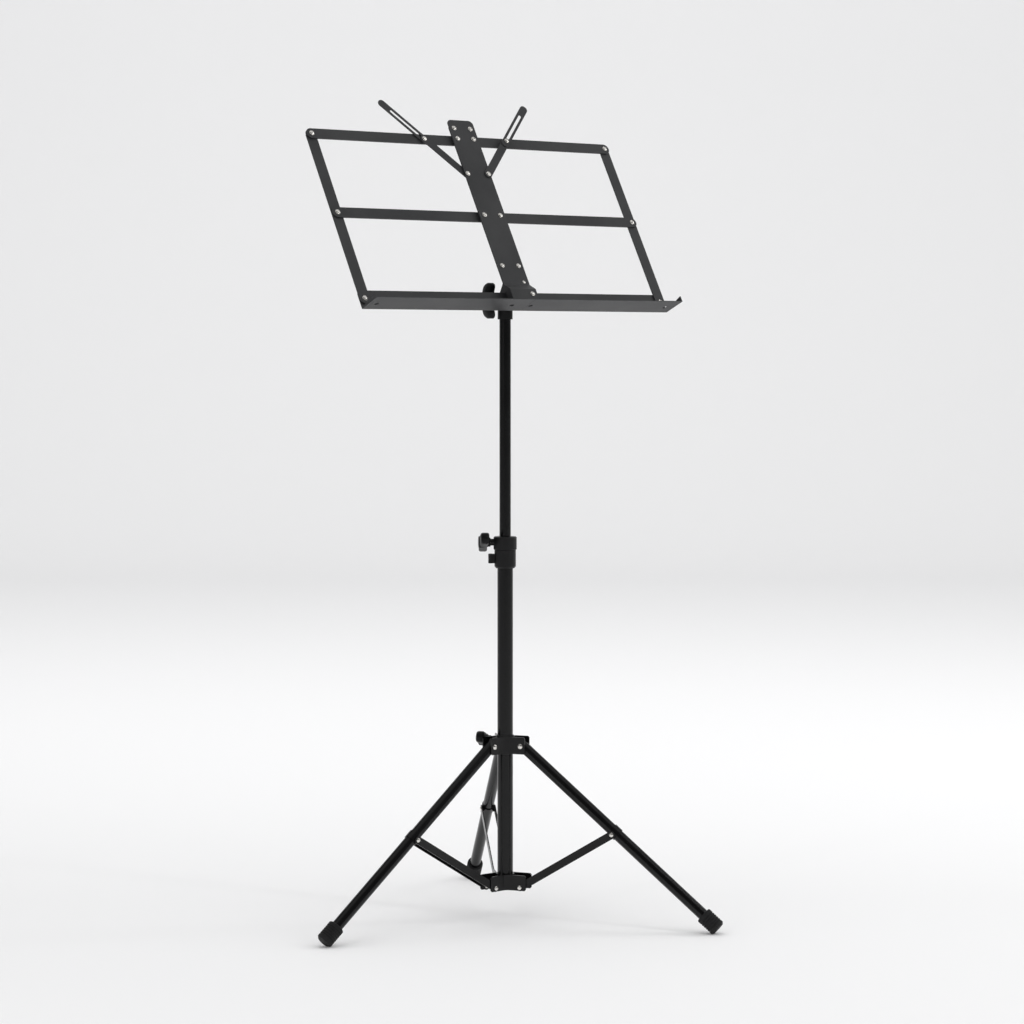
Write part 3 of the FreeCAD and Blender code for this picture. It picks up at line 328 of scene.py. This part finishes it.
def make_floor():
    """A pale floor that curves up into a wall far behind the stand, in one sheet."""
    graph = Graph("studio_floor")
    graph.shader.inputs["Base Color"].default_value = (0.86, 0.86, 0.865, 1.0)
    graph.shader.inputs["Roughness"].default_value = 0.9
    away = Vector((VIEW[0], VIEW[1], 0.0)).normalized()
    across = Vector((away.y, -away.x, 0.0))
    path = [(FLOOR_FRONT, 0.0), (FLOOR_BACK, 0.0)]
    for k in range(1, 13):
        angle = k * math.pi / 24
        path.append((FLOOR_BACK + CURVE_RADIUS * math.sin(angle),
                     CURVE_RADIUS - CURVE_RADIUS * math.cos(angle)))
    path.append((FLOOR_BACK + CURVE_RADIUS, WALL_TOP))
    mesh = bmesh.new()
    rows = []
    for along, height in path:
        centre = away * along + Vector((0, 0, height))
        rows.append((mesh.verts.new(centre - across * FLOOR_HALF),
                     mesh.verts.new(centre + across * FLOOR_HALF)))
    for first, second in zip(rows, rows[1:]):
        mesh.faces.new((first[0], first[1], second[1], second[0]))
    data = bpy.data.meshes.new("studio_floor")
    mesh.to_mesh(data)
    mesh.free()
    for face in data.polygons:
        face.use_smooth = True
    data.materials.append(graph.material)
    floor = bpy.data.objects.new("studio_floor", data)
    bpy.context.scene.collection.objects.link(floor)


def place(item, position, direction):
    """Link a light or camera at a position, looking along a direction."""
    item.location = position
    item.rotation_mode = "QUATERNION"
    item.rotation_quaternion = Vector(direction).to_track_quat("-Z", "Y")
    bpy.context.scene.collection.objects.link(item)


def make_light(name, position, target, size_x, size_y, power):
    light = bpy.data.lights.new(name, "AREA")
    light.shape = "RECTANGLE"
    light.size, light.size_y = size_x, size_y
    light.energy = power
    item = bpy.data.objects.new(name, light)
    place(item, position, Vector(target) - Vector(position))


WORLD_LIGHT, GLOSS_LIGHT = 0.75, 0.10      # strength of the surroundings, and what shiny paint mirrors


def make_world():
    """Even white surroundings that shiny surfaces mirror only faintly."""
    world = bpy.data.worlds.new("studio")
    world.use_nodes = True
    background = world.node_tree.nodes["Background"]
    background.inputs["Color"].default_value = (1.0, 1.0, 1.0, 1.0)
    tree = world.node_tree
    path = tree.nodes.new("ShaderNodeLightPath")
    blend = tree.nodes.new("ShaderNodeMapRange")
    blend.inputs["To Min"].default_value = WORLD_LIGHT
    blend.inputs["To Max"].default_value = GLOSS_LIGHT
    tree.links.new(path.outputs["Is Glossy Ray"], blend.inputs["Value"])
    tree.links.new(blend.outputs["Result"], background.inputs["Strength"])
    bpy.context.scene.world = world
    bpy.context.scene.view_settings.view_transform = "Standard"


def make_camera():
    camera = bpy.data.cameras.new("camera")
    camera.lens = 98.3
    camera.sensor_width = 36.0
    camera.clip_end = 60.0
    item = bpy.data.objects.new("camera", camera)
    place(item, (-2.2999, -3.1728, 0.7962), VIEW)
    bpy.context.scene.camera = item


make_floor()
make_world()
# name, position, target, width and length in metres, power in watts
make_light("overhead", (0.2, 0.0, 4.6), (0.0, -0.2, 0.0), 6.0, 6.0, 62)
make_light("backdrop", (0.2, 0.0, 4.4), (4.7, 6.4, 4.4), 6.0, 2.0, 130)
make_light("key", (2.9, -1.3, 2.2), (0, 0, 0.6), 0.5, 2.0, 18)
make_light("strip", (1.3, -2.9, 2.6), (0, 0, 0.4), 0.16, 2.2, 14)
make_light("left_strip", (-2.9, -0.6, 1.7), (0, 0, 0.5), 0.12, 1.8, 5)
make_camera()
